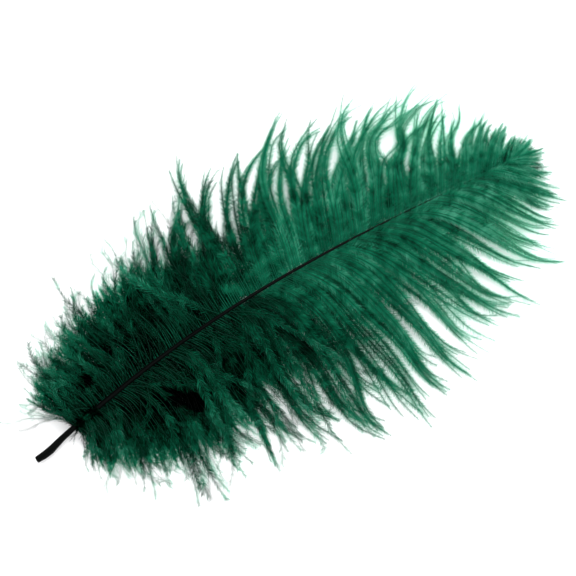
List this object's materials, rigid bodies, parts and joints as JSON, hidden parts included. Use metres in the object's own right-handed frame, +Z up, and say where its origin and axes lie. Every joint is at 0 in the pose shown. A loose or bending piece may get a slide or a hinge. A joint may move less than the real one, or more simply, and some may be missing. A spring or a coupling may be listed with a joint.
{
  "type": "ostrich feather",
  "caption": "Dyed dark green ostrich plume lying flat: an arched shaft with soft curling barbs on both sides and downy fluff at the base.",
  "frame": {"origin": "on the surface the feather lies on, below the middle of its box", "axes": "+X from the cut end of the quill to the tip, +Y towards the narrower vane, +Z up"},
  "size_m": [0.26, 0.1472, 0.0129],
  "materials": {
    "shaft": "keratin dyed almost black, faintly glossy",
    "barbs": "soft matt barbs and barbules dyed dark green"
  },
  "bodies": {
    "root": {"shaft": "shaft", "left_vane": "barbs", "right_vane": "barbs"}
  },
  "joints": []
}
